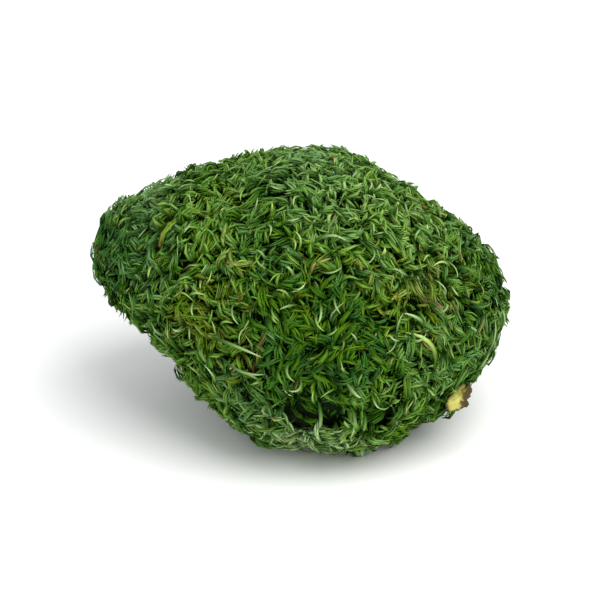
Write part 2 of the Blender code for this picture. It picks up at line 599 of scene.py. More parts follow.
class Leaves(NamedTuple):
    """Many leaves as arrays, one row for each.

    A leaf follows base + aim s + bend s^2, for s from 0 at its base to 1 at its tip, and facing is the side
    that its upper face turns to.
    """

    base: Array
    aim: Array
    bend: Array
    facing: Array
    width: Array
    strip: Array

    def at(self, share: float) -> Array:
        """Where the leaves are at a share of their length."""
        return self.base + self.aim * share + self.bend * share**2

    def heading(self, share: float) -> Array:
        """The unit direction of the leaves at a share of their length."""
        return unit(self.aim + self.bend * 2.0 * share)

    def pick(self, chosen: Array) -> "Leaves":
        """The chosen leaves only."""
        return Leaves(*(part[chosen] for part in self))

    def join(self, other: "Leaves") -> "Leaves":
        """These leaves and others."""
        return Leaves(*(np.concatenate(pair) for pair in zip(self, other)))


@dataclass(frozen=True)
class Blade:
    """One narrow keeled leaf, closed at both ends: a base point, rings of three corners and a tip point."""

    rings: Series = (0.34, 0.66, 0.88)
    widths: Series = (1.0, 0.9, 0.58)
    keel: float = 0.45
    floor: float = 0.08 * MM
    eased_below: float = 1.2 * MM
    map_half_width: float = 0.36
    map_ends: Span = (0.02, 0.98)

    def faces(self) -> Array:
        """Lists the triangles of one leaf: a fan at each end, and three sides between the rings.

        Returns:
            Three vertex numbers for each triangle.
        """
        turns = [(0, 1), (1, 2), (2, 0)]
        tip = 1 + 3 * len(self.rings)
        found = [(0, 1 + a, 1 + b) for a, b in turns]
        for low in range(1, tip - 3, 3):
            high = low + 3
            found += [(low + a, high + a, high + b) for a, b in turns]
            found += [(low + a, high + b, low + b) for a, b in turns]
        return np.array(found + [(tip - 3 + a, tip, tip - 3 + b) for a, b in turns])

    def points(self, leaves: Leaves) -> Array:
        """Works out every leaf's vertices.

        A ring has its two edges at half the width to either side of the leaf's line, and its keel below it
        by a share of the width. What would pass through the floor is laid along it instead: a height z under
        the limit e becomes f + r exp((z - e) / r), with the floor f and the room r between the two.

        Args:
            leaves: The leaves.

        Returns:
            An array of leaves by vertices by three.
        """
        columns = [leaves.at(0.0)]
        for share, factor in zip(self.rings, self.widths):
            middle, heading = leaves.at(share), leaves.heading(share)
            side = unit(np.cross(heading, leaves.facing))
            upper = np.cross(side, heading)
            wide = side * (leaves.width * factor / 2.0)[:, None]
            deep = upper * (leaves.width * factor * self.keel)[:, None]
            columns += [middle + wide, middle - wide, middle - deep]
        points = np.stack([*columns, leaves.at(1.0)], axis=1)
        heights = points[:, :, 2]
        room = self.eased_below - self.floor
        eased = self.floor + room * np.exp((np.minimum(heights, self.eased_below) - self.eased_below) / room)
        points[:, :, 2] = np.where(heights < self.eased_below, eased, heights)
        return points

    def map_points(self, leaves: Leaves, finish: LeafFinish) -> Array:
        """Places each vertex on the leaf palette: across within the leaf's strip, and up its length.

        Args:
            leaves: The leaves.
            finish: The palette.

        Returns:
            An array of leaves by vertices by two.
        """
        half = self.map_half_width / finish.strips
        middle = (leaves.strip + 0.5) / finish.strips
        across = np.array([0.0, *([half, -half, 0.0] * len(self.rings)), 0.0])
        along = np.array([self.map_ends[0], *np.repeat(self.rings, 3), self.map_ends[1]])
        return np.stack(np.broadcast_arrays(middle[:, None] + across, along), axis=2)

    def build(self, name: str, leaves: Leaves, finish: LeafFinish) -> Thing:
        """Joins all the leaves in one mesh object.

        Args:
            name: The piece's name.
            leaves: The leaves.
            finish: The palette that their map points into.

        Returns:
            The object.
        """
        points, one = self.points(leaves), self.faces()
        starts = np.arange(len(points)) * points.shape[1]
        faces = (starts[:, None, None] + one).reshape(-1, 3)
        uvs = self.map_points(leaves, finish)[:, one.ravel()].reshape(-1, 2)
        return make_object(name, points.reshape(-1, 3), faces, finish.material, uvs)


@dataclass(frozen=True)
class Patch:
    """A zone of the front that differs, placed by the photograph: millimetres right, up, and its radius.

    shade lightens its leaves by that many shades, and share of them take the hue, both most in the middle.
    The shades are partly the moss's own tone and partly painted light and shade over the front.
    """

    right: float
    up: float
    radius: float
    shade: float
    hue: Hue = Hue.MOSS_GREEN
    share: float = 0.0

    def weight(self, flat: Array) -> Array:
        """How strongly it acts at places in the photograph, e^-(distance / radius)^2."""
        away = np.hypot(flat[:, 0] - self.right * MM, flat[:, 1] - self.up * MM) / (self.radius * MM)
        return np.exp(-(away**2))


PATCHES = (
    Patch(-50, 60, 16, -1.0, Hue.BLUE_GREEN, 0.95),
    Patch(-41, 74, 9, 1.4, Hue.BLUE_GREEN, 0.3),
    Patch(-28, 72, 8, -1.1),
    Patch(8, 86, 17, 1.3, Hue.BLUE_GREEN, 0.2),
    Patch(34, 70, 16, 0.8, Hue.FRESH_GREEN, 0.5),
    Patch(-26, 42, 14, -0.5, Hue.OLIVE_GREEN, 0.55),
    Patch(33, 48, 14, -0.2, Hue.OLIVE_GREEN, 0.6),
    Patch(-2, 48, 15, -1.0, Hue.OLIVE_GREEN, 0.25),
    Patch(12, 44, 14, -1.8, Hue.BLUE_GREEN, 0.45),
    Patch(-15, 44, 10, -0.8),
    Patch(54, 42, 13, -0.4, Hue.BLUE_GREEN, 0.4),
    Patch(36, 26, 10, 1.8),
    Patch(-2, 27, 12, -2.5, Hue.BLUE_GREEN, 0.6),
    Patch(19, 37, 9, -1.6, Hue.BLUE_GREEN, 0.3),
    Patch(15, 25, 10, -1.0, Hue.BLUE_GREEN, 0.6),
    Patch(-20, 27, 8, 0.8, Hue.OLIVE_GREEN, 0.3),
    Patch(-17, 12, 7, 1.8, Hue.FRESH_GREEN, 0.3),
    Patch(38, 42, 5, 0.3, Hue.BROWN, 0.4),
    Patch(-12, 29, 6, 0.3, Hue.BROWN, 0.3),
    # The pale fringe low at the front: partly paler leaves, partly painted light bounced up from the floor.
    Patch(-1, 2, 10, 4.4, Hue.PALE_GREEN, 0.9),
    Patch(14, 1, 8, 2.8, Hue.PALE_GREEN, 0.7),
)


@dataclass(frozen=True)
class Hollow:
    """A dark oval hollow between the shoots, placed by the photograph, its leaves darkened as painted shade.

    Its middle and its half sizes are in millimetres, right and up.
    """

    middle: Span
    half: Span

    def holds(self, cushion: Cushion, points: Array) -> Array:
        """Tells which points the photograph shows inside the hollow, by the cushion's place in it."""
        own = (cushion.picture_plane(points) / MM - self.middle) / self.half
        return (np.hypot(*own.T) < 1.0) & (points @ SIGHT < 0.0)


HOLLOWS = (Hollow((0.4, 14.0), (4.2, 4.9)), Hollow((8.6, 13.6), (3.2, 4.0)), Hollow((21.2, 13.0), (4.3, 3.4)))


def in_hollows(cushion: Cushion, points: Array) -> Array:
    """Tells which points are in any of the hollows."""
    return np.any([hollow.holds(cushion, points) for hollow in HOLLOWS], axis=0)


@dataclass(frozen=True)
class Strand:
    """A long leaf that lies on the cushion, placed by the photograph.

    The numbers are millimetres right and up for its base, its middle and its tip, then its width, and its
    hue with its shade from 0 to 7.
    """

    base: Span
    middle: Span
    tip: Span
    width: float
    hue: Hue
    shade: int


STRANDS = (
    Strand((36.8, 24.0), (35.4, 32.6), (27.8, 36.2), 1.4, Hue.YELLOW_GREEN, 6),
    Strand((34.4, 36.8), (31.8, 39.8), (27.6, 41.4), 0.95, Hue.PALE_GREEN, 4),
    Strand((-25.0, 35.0), (-17.4, 32.6), (-10.0, 29.4), 0.95, Hue.PALE_GREEN, 3),
    Strand((-22.5, 30.0), (-16.0, 25.8), (-9.4, 25.0), 0.95, Hue.PALE_GREEN, 2),
    Strand((3.5, 60.4), (8.0, 62.2), (12.5, 60.8), 0.9, Hue.PALE_GREEN, 4),
    Strand((33.4, 63.4), (34.6, 64.3), (34.9, 65.6), 1.0, Hue.YELLOW_GREEN, 6),
    Strand((21.2, 56.6), (22.6, 57.7), (22.7, 59.3), 1.0, Hue.YELLOW_GREEN, 6),
    Strand((4.6, 17.5), (5.6, 12.0), (4.2, 7.0), 1.0, Hue.PALE_GREEN, 3),
    Strand((13.5, 16.0), (15.0, 11.0), (13.6, 6.5), 1.0, Hue.PALE_GREEN, 4),
    Strand((17.0, 15.0), (17.9, 10.5), (16.4, 6.5), 1.0, Hue.FRESH_GREEN, 5),
    Strand((25.5, 15.5), (26.9, 11.0), (25.2, 7.5), 1.0, Hue.PALE_GREEN, 4),
    Strand((10.5, 25.4), (14.2, 20.3), (16.6, 18.6), 0.95, Hue.PALE_GREEN, 4),
    Strand((55.2, 35.0), (56.6, 39.0), (55.6, 43.0), 1.0, Hue.PALE_GREEN, 5),
    Strand((50.4, 27.0), (53.4, 33.5), (53.8, 40.0), 1.0, Hue.PALE_GREEN, 4),
    Strand((48.6, 23.6), (50.4, 27.2), (53.0, 30.6), 1.0, Hue.PALE_GREEN, 4),
)


@dataclass(frozen=True)
class Tones:
    """How hue and shade vary over the leaves, both counted in steps of the palette.

    Each has a mean, drifts over the cushion, and spreads between the shoots and between the leaves. The
    shade also goes by how far up its shoot a leaf stands, lower leaves darker partly with age and partly as
    painted shade deep among the shoots, and by the shoot's height in metres, higher shoots lighter as painted
    light from above. Leaves in the hollows are darkened as painted shade.
    """

    hue: float = 2.0
    slow_hue: Drift = Drift(0.5, 46 * MM, 5)
    quick_hue: Drift = Drift(0.3, 17 * MM, 6)
    hue_spreads: Span = (0.55, 0.2)
    shade: float = 2.0
    slow_shade: Drift = Drift(0.4, 28 * MM, 7)
    shade_spreads: Span = (0.8, 0.4)
    # Lower leaves of a shoot darker: partly older leaves, partly painted shade deep among the shoots.
    age_and_shade_by_rise: float = 2.9
    # Higher shoots lighter, lower ones darker: painted light from above.
    painted_light_by_height: float = 34.0
    facing: Span = (-22 * MM, 8 * MM)
    shoot_share: float = 0.7
    dry_share: float = 0.025
    dry_hues: Span = (4.0, 8.0)
    # Leaves in the hollows darkened: painted shade in the recesses.
    painted_hollow_shade: float = 6.0


@dataclass
class ShootField:
    """The leafy shoots: where they stand on the cushion, and the leaves around each.

    The leaves of a shoot are swept to one side and hooked, so that a shoot ends in a curved wisp.
    """

    cushion: Cushion
    finish: LeafFinish
    rng: Dice
    tones: Tones = Tones()

    candidates: int = 120000
    cell: float = 2.0 * MM
    cell_warp: Drift = Drift(1.3 * MM, 19 * MM, 20)
    least_gap: float = 1.25 * MM
    by_normal: float = 0.55
    by_centre: float = 0.5
    lean: float = 0.2

    leaves_each: int = 7
    golden_angle: float = math.radians(137.508)
    combing: Drift = Drift(0.8, 24 * MM, 0)
    turn_spread: float = 0.25
    wisp_rise: Span = (0.15, 0.5)
    outer_degrees: float = 40.0
    inner_degrees: float = 4.0
    spread_degrees: float = 2.5
    lower_length: float = 4.2 * MM
    wisp_length: float = 5.6 * MM
    leaf_length: Factor = Factor(0.09, 0.7, 1.3)
    shoot_length: Factor = Factor(0.14, 0.6, 1.4)
    shoot_strength: Factor = Factor(0.25, 0.3, 1.35)
    strength_spread: float = 0.08
    outer_strength: float = 0.5
    lead: float = 0.2
    hook: float = 0.8
    curl: float = 1.1
    curl_spread: float = 0.08
    droop: float = 0.65
    set_back: float = 0.6

    highest_tip: float = 0.3 * MM
    lowest_tip: float = -3.0 * MM
    tip_power: float = 0.6
    tip_spread: float = 0.2 * MM
    shoot_spread: float = 0.5 * MM
    shoot_limits: Span = (-1.0 * MM, 0.5 * MM)
    wisp_shares: Series = (0.5, 0.75, 1.0)
    most_clear: float = 0.4 * MM
    deepest_sink: float = 3.0 * MM
    hollow_depth: float = 4.4 * MM
    face_sweep: float = 0.7
    face_spread: float = 0.3
    width: float = 0.8 * MM
    leaf_width: Factor = Factor(0.14, 0.6, 1.4)

    def places(self) -> tuple[Array, Array]:
        """Where the shoots stand and where they point.

        There is one shoot for each small cell that the surface crosses, with the cells' grid warped by
        smooth noise so that no rows show, and a shoot that stands too near an earlier one is left out.

        Returns:
            The places on the surface and the unit axes.
        """
        places, normals = self.cushion.scatter(self.candidates, self.rng)
        cells = np.floor((places + self.cell_warp.vectors(places)) / self.cell).astype(int)
        chosen = self.rng.permutation(np.unique(cells, axis=0, return_index=True)[1])
        spots = (places[chosen] / self.least_gap).astype(np.float32)
        squares = (spots**2).sum(axis=1)
        near = (squares[:, None] + squares[None, :] - 2.0 * spots @ spots.T) < 1.0
        chosen = chosen[~np.tril(near, k=-1).any(axis=1)]
        places, normals = places[chosen], normals[chosen]
        outward = unit(places - self.cushion.centre)
        lean = self.rng.normal(scale=self.lean, size=places.shape)
        return places, unit(self.by_normal * normals + self.by_centre * outward + lean)

    def clearance(self, spots: Array, axes: Array, points: Array) -> Array:
        """How far points stand off the surface beside them.

        The surface beside a point is taken as the plane through the nearest shoot's place, square to that
        shoot's axis.

        Args:
            spots: The shoots' places.
            axes: The shoots' unit axes.
            points: The points, one row each.

        Returns:
            A distance for each point, below zero inside.
        """
        near, far = (spots / MM).astype(np.float32), (points / MM).astype(np.float32)
        nearest = ((near**2).sum(axis=1)[None, :] - 2.0 * far @ near.T).argmin(axis=1)
        return np.einsum("ij,ij->i", points - spots[nearest], axes[nearest])

    def grow(self) -> tuple[Leaves, Array]:
        """Grows every shoot's leaves.

        Leaf k of a shoot stands a golden angle further round than leaf k - 1. The first ones spread wide and
        low, and the last ones stand up around the shoot's axis. Each leaf is a parabola that is swept to its
        shoot's side, curls left or right with its shoot and droops, and its base is set so deep that its
        highest point is near the surface: its height, climb s + fall s^2, is climb + fall at its tip, or
        -climb^2 / 4 fall where it turns down before that. A shoot's side follows smooth noise in part, so
        that neighbours are combed alike here and there. A shoot whose last leaf would stand clear of the
        surface beside it is sunk.

        Returns:
            The leaves, and each leaf's shoot's place.
        """
        rng, each = self.rng, self.leaves_each
        spots, axes = self.places()
        count = len(spots)
        rise = np.tile((np.arange(each) + 0.5) / each, count)
        shoot = np.repeat(np.arange(count), each)
        total = len(shoot)
        axis, spot = axes[shoot], spots[shoot]

        combed = unit(np.cross(axes, self.combing.vectors(spots) + rng.normal(size=spots.shape)))
        first, second = combed[shoot], np.cross(axis, combed[shoot])
        turn = np.tile(np.arange(each) * self.golden_angle, count) + rng.uniform(0, FULL_TURN, count)[shoot]
        turn += rng.normal(scale=self.turn_spread, size=total)
        radial = first * np.cos(turn)[:, None] + second * np.sin(turn)[:, None]

        wisp = smooth_step(rise, *self.wisp_rise)
        degrees = blend(self.outer_degrees, self.inner_degrees, wisp)
        angle = np.radians(degrees + rng.normal(scale=self.spread_degrees, size=total))
        length = blend(self.lower_length, self.wisp_length, wisp) * self.leaf_length.draw(rng, total)
        length *= self.shoot_length.draw(rng, count)[shoot]
        straight = axis * np.cos(angle)[:, None] + radial * np.sin(angle)[:, None]

        strength = self.shoot_strength.draw(rng, count)[shoot] * rng.normal(1.0, self.strength_spread, total)
        strength *= blend(self.outer_strength, 1.0, wisp)
        hand = np.sign(rng.normal(size=count))[shoot]
        curl = self.curl * hand * strength + rng.normal(scale=self.curl_spread, size=total)
        hook = self.hook * strength
        straight += first * self.lead - second * curl[:, None]
        bend = first * hook[:, None] + second * curl[:, None] - axis * (self.droop * hook)[:, None]

        tip = blend(self.lowest_tip, self.highest_tip, rise**self.tip_power)
        tip += rng.normal(scale=self.tip_spread, size=total)
        tip += rng.normal(scale=self.shoot_spread, size=count).clip(*self.shoot_limits)[shoot]
        tip -= self.hollow_depth * in_hollows(self.cushion, spots)[shoot]
        aim, bend = straight * length[:, None], bend * length[:, None]
        climb, fall = (aim * axis).sum(axis=1), (bend * axis).sum(axis=1)
        crest = np.where(2.0 * fall < -climb, -(climb**2) / np.minimum(4.0 * fall, -1e-9), climb + fall)
        base = spot + axis * (tip - crest)[:, None] - first * (self.set_back * hook * length)[:, None]
        top = slice(each - 1, None, each)
        wisps = [(base + aim * s + bend * s * s)[top] for s in self.wisp_shares]
        clear = np.max([self.clearance(spots, axes, points) for points in wisps], axis=0)
        base -= axis * np.clip(clear - self.most_clear, 0.0, self.deepest_sink)[shoot][:, None]
        facing = unit(axis - first * self.face_sweep + rng.normal(scale=self.face_spread, size=(total, 3)))
        width = self.width * self.leaf_width.draw(rng, total)
        return Leaves(base, aim, bend, facing, width, self.strips_for(spot, shoot, rise)), spot

    def uneven(self, shoot: Array, spreads: Span) -> Array:
        """Draws differences between the shoots and between their leaves, and adds them for each leaf."""
        of_shoots = self.rng.normal(scale=spreads[0], size=shoot[-1] + 1)[shoot]
        return of_shoots + self.rng.normal(scale=spreads[1], size=len(shoot))

    def strips_for(self, spot: Array, shoot: Array, rise: Array) -> Array:
        """Picks each leaf's strip of the palette: greens that drift over the cushion, and a few dry leaves,
        with painted shade low in each shoot and in the hollows, and painted light on the higher shoots.

        Args:
            spot: Each leaf's shoot's place.
            shoot: Each leaf's shoot's number.
            rise: How far up its shoot each leaf stands, from 0 to 1.

        Returns:
            The strips' numbers.
        """
        tones, rng, total = self.tones, self.rng, len(shoot)
        hue = tones.hue + tones.slow_hue.at(spot) + tones.quick_hue.at(spot)
        hue += self.uneven(shoot, tones.hue_spreads)
        # Lower leaves darker, partly with age and partly as painted shade; higher shoots lighter as painted
        # light from above.
        shade = tones.shade + tones.slow_shade.at(spot) + tones.age_and_shade_by_rise * (rise - 0.5)
        shade += tones.painted_light_by_height * (spot[:, 2] - self.cushion.centre[2])
        shade += self.uneven(shoot, tones.shade_spreads)
        flat = self.cushion.picture_plane(spot)
        seen = smooth_step(-(spot @ SIGHT), *tones.facing)
        # Patch shades: partly the moss's own tone, partly painted light and shade.
        for patch in PATCHES:
            weight = patch.weight(flat) * seen
            shade += patch.shade * weight
            draw = tones.shoot_share * rng.uniform(size=shoot[-1] + 1)[shoot]
            draw += (1.0 - tones.shoot_share) * rng.uniform(size=total)
            hue[draw < patch.share * weight] = patch.hue.column + 0.5
        dry = rng.uniform(size=total) < tones.dry_share
        hue[dry] = rng.uniform(*tones.dry_hues, dry.sum())
        # Leaves in the hollows: deep green, darkened as painted shade.
        sunk = in_hollows(self.cushion, spot)
        hue[sunk] = Hue.DEEP_GREEN.column + 0.5
        shade[sunk] -= tones.painted_hollow_shade
        return self.finish.strip(hue, shade)


class Region(Enum):
    """The parts of the clump whose leaves are one mesh each, to keep every mesh light."""

    CROWN = "leafy_shoots_crown"
    FRONT = "leafy_shoots_front"
    RIGHT = "leafy_shoots_right"
    BACK = "leafy_shoots_back"
    LEFT = "leafy_shoots_left"
    SKIRT = "leafy_shoots_skirt"


@dataclass
class LeafyShoots:
    """The green surface of the clump, as one mesh of leaves for each region."""

    cushion: Cushion
    finish: LeafFinish
    rng: Dice
    blade: Blade = Blade()
    crown_height: float = 0.62
    skirt_height: float = -0.42
    tested_shares: Series = (0.5, 0.8, 1.0)

    def regions(self, places: Array) -> Array:
        """Tells which region each place belongs to, by its direction from the clump's middle.

        The quarters of a turn, centred on the front, the right, the back and the left, are numbers 1 to 4.

        Args:
            places: The places, one row each.

        Returns:
            The region's number in the order of Region.
        """
        outward = unit(places - self.cushion.centre)
        quarter = np.floor((np.degrees(np.arctan2(outward[:, 1], outward[:, 0])) + 135.0) / 90.0) % 4
        around = quarter.astype(int) + 1
        around[outward[:, 2] > self.crown_height] = 0
        around[outward[:, 2] < self.skirt_height] = len(Region) - 1
        return around

    def over(self, hollow: Hollow, leaves: Leaves, places: Array) -> Array:
        """Tells which leaves hang over a hollow from shoots whose places are outside it."""
        within = [hollow.holds(self.cushion, leaves.at(share)) for share in self.tested_shares]
        return np.any(within, axis=0) & ~hollow.holds(self.cushion, places)

    def build(self, scrap: "DryScrap") -> list[Thing]:
        """Grows the leaves, leaves out those that would hide a hollow or the scrap, and builds the regions.

        Args:
            scrap: The dry leaf scrap, to keep clear of.

        Returns:
            One object for each region.
        """
        leaves, places = ShootField(self.cushion, self.finish, self.rng).grow()
        hanging = np.any([self.over(hollow, leaves, places) for hollow in HOLLOWS], axis=0)
        kept = ~(hanging | scrap.hidden_by(leaves))
        leaves, around = leaves.pick(kept), self.regions(places[kept])
        shared = [(region.value, leaves.pick(around == number)) for number, region in enumerate(Region)]
        return [self.blade.build(name, part, self.finish) for name, part in shared]


@dataclass
class LongStrands:
    """Long pale leaves that lie loose on the cushion: those of the photograph, and others all round."""

    cushion: Cushion
    finish: LeafFinish
    rng: Dice
    blade: Blade = Blade(
        rings=(0.12, 0.25, 0.38, 0.5, 0.62, 0.74, 0.86, 0.94),
        widths=(0.8, 0.95, 1.0, 0.96, 0.88, 0.74, 0.5, 0.3),
        keel=0.6,
    )
    shown_heights: Series = (-0.3 * MM, 0.8 * MM, 0.5 * MM)
    hanging_below: float = 20.0 * MM
    hanging_drop: float = 0.9 * MM
    others: int = 520
    heights: Series = (-0.6 * MM, 0.9 * MM, 0.4 * MM)
    half_lengths: Span = (2.2 * MM, 4.0 * MM)
    bulges: Span = (0.2, 0.7)
    widths: Span = (0.5 * MM, 0.8 * MM)
    hues: tuple[Hue, ...] = (Hue.FRESH_GREEN, Hue.OLIVE_GREEN, Hue.YELLOW_GREEN, Hue.PALE_GREEN)
    hue_shares: Series = (0.36, 0.14, 0.1, 0.4)
    shades: tuple[int, int] = (2, 7)

    def laid(self, points: Array, height: float) -> Array:
        """Points moved out or in to a height above the smoothed cushion."""
        directions = unit(points - self.cushion.centre)
        return self.cushion.centre + directions * (self.cushion.reach(directions) + height)[:, None]

    def through(self, spots: list[Array], width: Array, strip: Array) -> Leaves:
        """The leaves whose parabolas pass through three rows of points.

        With the middle at s = 1/2, bend is 2 base + 2 tip - 4 middle, and aim is tip - base - bend.

        Args:
            spots: Where the leaves start, where their middles lie and where they end.
            width: How wide each is.
            strip: Each leaf's strip of the palette.

        Returns:
            The leaves.
        """
        base, middle, tip = spots
        bend = 2.0 * base + 2.0 * tip - 4.0 * middle
        return Leaves(base, tip - base - bend, bend, unit(middle - self.cushion.centre), width, strip)

    def shown(self) -> Leaves:
        """Lays the photograph's strands on the surface that it shows, those over the hollows closer to it.

        Returns:
            The leaves.
        """
        hanging = np.array([strand.base[1] * MM < self.hanging_below for strand in STRANDS])
        drop = self.hanging_drop * hanging
        spots = []
        for part, height in zip(("base", "middle", "tip"), self.shown_heights):
            points = self.cushion.seen_at(np.array([getattr(strand, part) for strand in STRANDS]) * MM)
            spots.append(points + unit(points - self.cushion.centre) * (height - drop)[:, None])
        hues, shades, widths = np.array([(s.hue.column, s.shade, s.width) for s in STRANDS]).T
        return self.through(spots, widths * MM, self.finish.strip(hues, shades))

    def loose(self) -> Leaves:
        """Scatters the other strands: each bulges to one side by a share of its half length.

        Returns:
            The leaves.
        """
        rng = self.rng
        places, normals = self.cushion.scatter(self.others, rng)
        clear = ~in_hollows(self.cushion, places)
        places, normals = places[clear], normals[clear]
        count = len(places)
        along = unit(np.cross(normals, rng.normal(size=places.shape)))
        half = rng.uniform(*self.half_lengths, count)[:, None]
        bulge = rng.choice((-1.0, 1.0), count)[:, None] * rng.uniform(*self.bulges, count)[:, None] * half
        hue = rng.choice([hue.column for hue in self.hues], count, p=self.hue_shares)
        strip = self.finish.strip(hue, rng.integers(*self.shades, count))
        rows = (places - along * half, places + np.cross(normals, along) * bulge, places + along * half)
        spots = [self.laid(row, height) for row, height in zip(rows, self.heights)]
        return self.through(spots, rng.uniform(*self.widths, count), strip)

    def build(self) -> Thing:
        """Builds the strands as one mesh."""
        return self.blade.build("long_strands", self.shown().join(self.loose()), self.finish)


# ---- the mat, the cut and the scrap


@dataclass
class StemMat:
    """The matted old stems that the leaves stand on, seen only in the gaps between them, dark as painted
    shade.
    """

    cushion: Cushion
    # Near-black green: partly the old stems' own dark colour, partly painted shade deep between the shoots.
    finish: MatFinish = MatFinish("stem_mat_painted_shade", dark=(4, 15, 0), light=(10, 32, 1))
    depth: float = 4.6 * MM
    lowest: float = 2.4 * MM
    relief: Drift = Drift(0.5 * MM, 6 * MM, 9)
    columns: int = 96
    rows: int = 47

    def build(self) -> Thing:
        """Builds the mat: the cushion's smoothed distance less a depth, with a random relief.

        Returns:
            The object.
        """
        tilt = math.pi * (np.arange(self.rows) + 1.0) / (self.rows + 1.0) - math.pi / 2.0
        tilts, turns = (grid.ravel() for grid in np.meshgrid(tilt, angles_round(self.columns), indexing="ij"))
        flat = np.cos(tilts)
        around = np.column_stack((flat * np.cos(turns), flat * np.sin(turns), np.sin(tilts)))
        directions = np.vstack(((0.0, 0.0, -1.0), around, (0.0, 0.0, 1.0)))
        smooth = self.cushion.reach(directions) - self.depth
        points = self.cushion.centre + directions * smooth[:, None]
        points += directions * self.relief.at(points)[:, None]
        points[:, 2] = np.maximum(points[:, 2], self.lowest)
        return make_object("stem_mat", points, closed_grid(self.columns, self.rows), self.finish.material)


@dataclass
class CutBase:
    """The matted brown bed behind the cut ends of the stems, underneath.

    Its profile has pairs of a share of the outline's radius and of the thickness.
    """

    cushion: Cushion
    finish: MatFinish = MatFinish()
    middle: Span = (9 * MM, -1.5 * MM)
    height: float = 1.0 * MM
    thickness: float = 3.0 * MM
    inset: float = 0.4 * MM
    pits: Drift = Drift(0.5, 2.2 * MM, 11)
    pit_depth: float = 0.5 * MM
    columns: int = 144
    underside_rows: int = 34
    underside: Span = (0.03, 0.985)
    rim: tuple[Span, ...] = ((1.0, 0.12), (1.0, 0.6), (0.97, 1.0), (0.6, 1.0), (0.25, 1.0))

    def radius(self, turn: Array) -> Array:
        """How far the cut reaches from its middle at each angle."""
        return self.cushion.cut_outline(np.array(self.middle), turn) - self.inset

    def spots(self, far: Array, turn: Array, height: Array) -> Array:
        """Points at distances and angles from the cut's middle, and at heights."""
        right, back = (middle + far * wave(turn) for middle, wave in zip(self.middle, (np.cos, np.sin)))
        return np.stack(np.broadcast_arrays(right, back, height), axis=-1).reshape(-1, 3)

    def build(self) -> Thing:
        """Builds the bed.

        Its rows go out along the flat underside, up the rim and in over the top. Fine pits are sunk in the
        underside.

        Returns:
            The object.
        """
        turn, rim = angles_round(self.columns), np.array(self.rim)
        shares = np.concatenate((np.linspace(*self.underside, self.underside_rows), rim[:, 0]))
        heights = np.concatenate((np.zeros(self.underside_rows), rim[:, 1])) * self.thickness
        ring = self.spots(shares[:, None] * self.radius(turn), turn, heights[:, None])
        points = np.vstack(((*self.middle, 0.0), ring, (*self.middle, self.thickness)))
        pits = np.clip(0.5 + self.pits.at(points), 0.0, 1.0)
        points[:, 2] += self.height + self.pit_depth * pits * (points[:, 2] == 0.0)
        return make_object("cut_base", points, closed_grid(self.columns, len(shares)), self.finish.material)


@dataclass
class CutStems:
    """The cut ends of the old stems: short brown bits that lie matted in the cut face."""

    bed: CutBase
    finish: LeafFinish
    rng: Dice
    blade: Blade = Blade(widths=(1.0, 0.95, 0.8), keel=0.5)
    count: int = 2400
    lean: float = 1.3
    bend: float = 0.25
    length: float = 4.0 * MM
    lengths: Span = (0.6, 1.3)
    width: float = 0.7 * MM
    widths: Span = (0.7, 1.3)
    heights: Span = (0.1 * MM, 0.9 * MM)
    straw_share: float = 0.12

    def build(self) -> Thing:
        """Builds the bits as one mesh.

        A bit ends at a random place in the cut, whose distance from the middle is the outline's radius
        times the square root of a random share, and comes down to it from above at a random lean.

        Returns:
            The object.
        """
        rng, count = self.rng, self.count
        turn = rng.uniform(0.0, FULL_TURN, count)
        far = np.sqrt(rng.uniform(size=count)) * self.bed.radius(turn)
        tip = self.bed.spots(far, turn, rng.uniform(*self.heights, count))
        length = self.length * rng.uniform(*self.lengths, count)[:, None]
        lean = rng.normal(scale=self.lean, size=(count, 2))
        aim = unit(np.column_stack((lean, np.full(count, -1.0)))) * length
        bend = rng.normal(scale=self.bend, size=aim.shape) * length
        bend[:, 2] = np.abs(bend[:, 2])
        hue = np.where(rng.uniform(size=count) < self.straw_share, Hue.STRAW.column, Hue.BROWN.column)
        strip = self.finish.strip(hue, rng.integers(0, self.finish.shades, count))
        width = self.width * rng.uniform(*self.widths, count)
        bits = Leaves(tip - aim - bend, aim, bend, unit(rng.normal(size=aim.shape)), width, strip)
        return self.blade.build("cut_stems", bits, self.finish)


